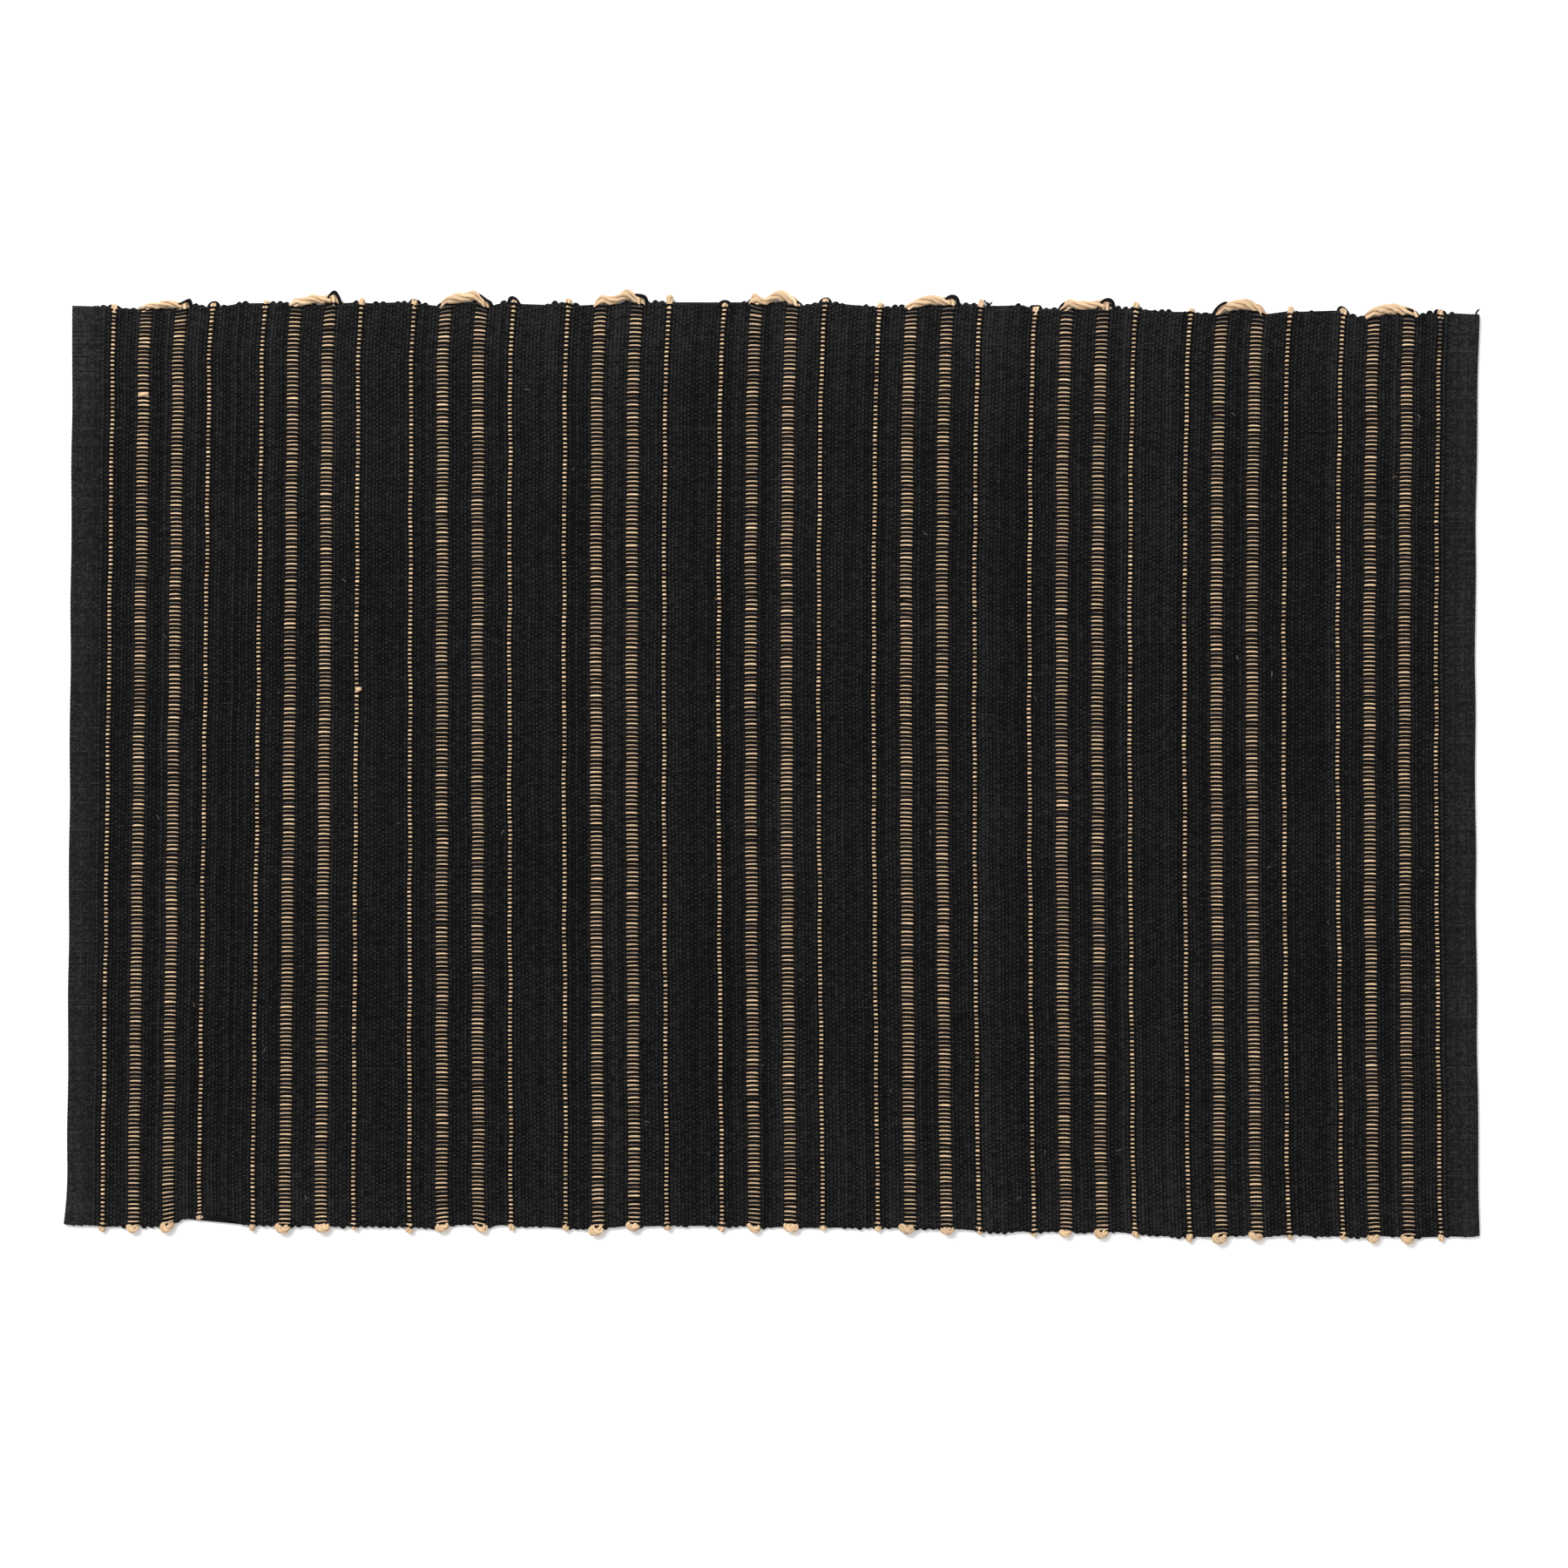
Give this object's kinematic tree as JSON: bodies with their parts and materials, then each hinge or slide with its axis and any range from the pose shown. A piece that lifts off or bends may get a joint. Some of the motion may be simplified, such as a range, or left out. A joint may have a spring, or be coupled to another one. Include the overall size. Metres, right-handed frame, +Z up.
{
  "type": "bath mat",
  "caption": "Flat woven cotton bath mat: black warp-rib ground with thick and thin natural-colour weft stripes, looped selvedges and folded, stitched hems.",
  "frame": {"origin": "on the underside of the mat, midway between the two hem folds and midway between the outermost yarn turns of the two selvedges", "axes": "+X along the mat's long side (the warp), +Y along its short side (the weft) towards the selvedge with the long yarn floats, +Z up out of the upper face"},
  "size_m": [0.9, 0.6014, 0.0049],
  "materials": {
    "black_cotton": "matte black cotton yarn, fine ribbed weave",
    "natural_yarn": "matte unbleached plied yarn, slightly slubby, tan",
    "sewing_thread": "black polyester-cotton sewing thread, low sheen"
  },
  "bodies": {
    "root": {"ground_cloth": "black_cotton", "hem_bobbin_thread_left": "sewing_thread", "hem_bobbin_thread_right": "sewing_thread", "hem_needle_thread_left": "sewing_thread", "hem_needle_thread_right": "sewing_thread", "thick_stripe_yarn_1": "natural_yarn", "thick_stripe_yarn_2": "natural_yarn", "thick_stripe_yarn_3": "natural_yarn", "thick_stripe_yarn_4": "natural_yarn", "thick_stripe_yarn_5": "natural_yarn", "thick_stripe_yarn_6": "natural_yarn", "thick_stripe_yarn_7": "natural_yarn", "thick_stripe_yarn_8": "natural_yarn", "thick_stripe_yarn_9": "natural_yarn", "thin_stripe_yarn_left_1": "natural_yarn", "thin_stripe_yarn_left_2": "natural_yarn", "thin_stripe_yarn_left_3": "natural_yarn", "thin_stripe_yarn_left_4": "natural_yarn", "thin_stripe_yarn_left_5": "natural_yarn", "thin_stripe_yarn_left_6": "natural_yarn", "thin_stripe_yarn_left_7": "natural_yarn", "thin_stripe_yarn_left_8": "natural_yarn", "thin_stripe_yarn_left_9": "natural_yarn", "thin_stripe_yarn_right_1": "natural_yarn", "thin_stripe_yarn_right_2": "natural_yarn", "thin_stripe_yarn_right_3": "natural_yarn", "thin_stripe_yarn_right_4": "natural_yarn", "thin_stripe_yarn_right_5": "natural_yarn", "thin_stripe_yarn_right_6": "natural_yarn", "thin_stripe_yarn_right_7": "natural_yarn", "thin_stripe_yarn_right_8": "natural_yarn", "thin_stripe_yarn_right_9": "natural_yarn"}
  },
  "joints": []
}
